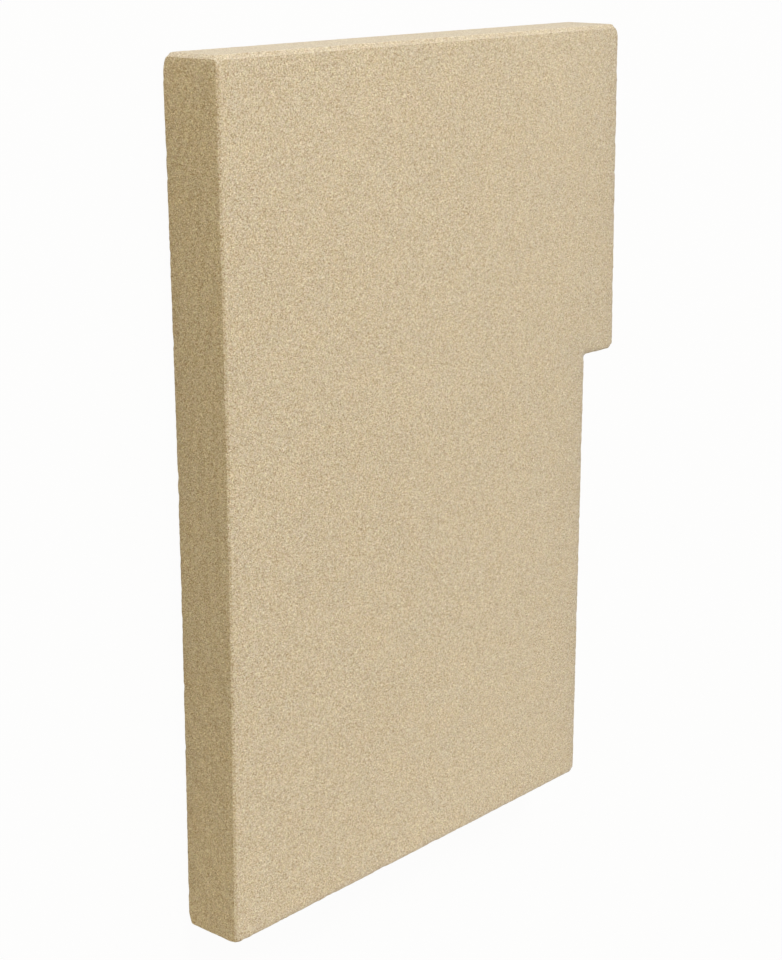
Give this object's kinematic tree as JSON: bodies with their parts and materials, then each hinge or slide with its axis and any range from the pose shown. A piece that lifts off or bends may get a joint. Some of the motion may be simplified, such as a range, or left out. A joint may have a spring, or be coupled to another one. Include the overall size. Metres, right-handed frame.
{
  "type": "refractory firebrick",
  "caption": "Flat refractory stove-lining brick in pale sandy fireclay, with rounded edges and a long notch cut from a corner.",
  "frame": {"origin": "middle of the bounding box, on the back face that the brick lies on", "axes": "+Z through the thickness to the fire face, +Y from the foot end to the wide head end, +X towards the notched side"},
  "size_m": [0.22, 0.31, 0.025],
  "materials": {
    "fireclay": "fired, unglazed, sandy"
  },
  "bodies": {
    "root": {"firebrick": "fireclay"}
  },
  "joints": []
}
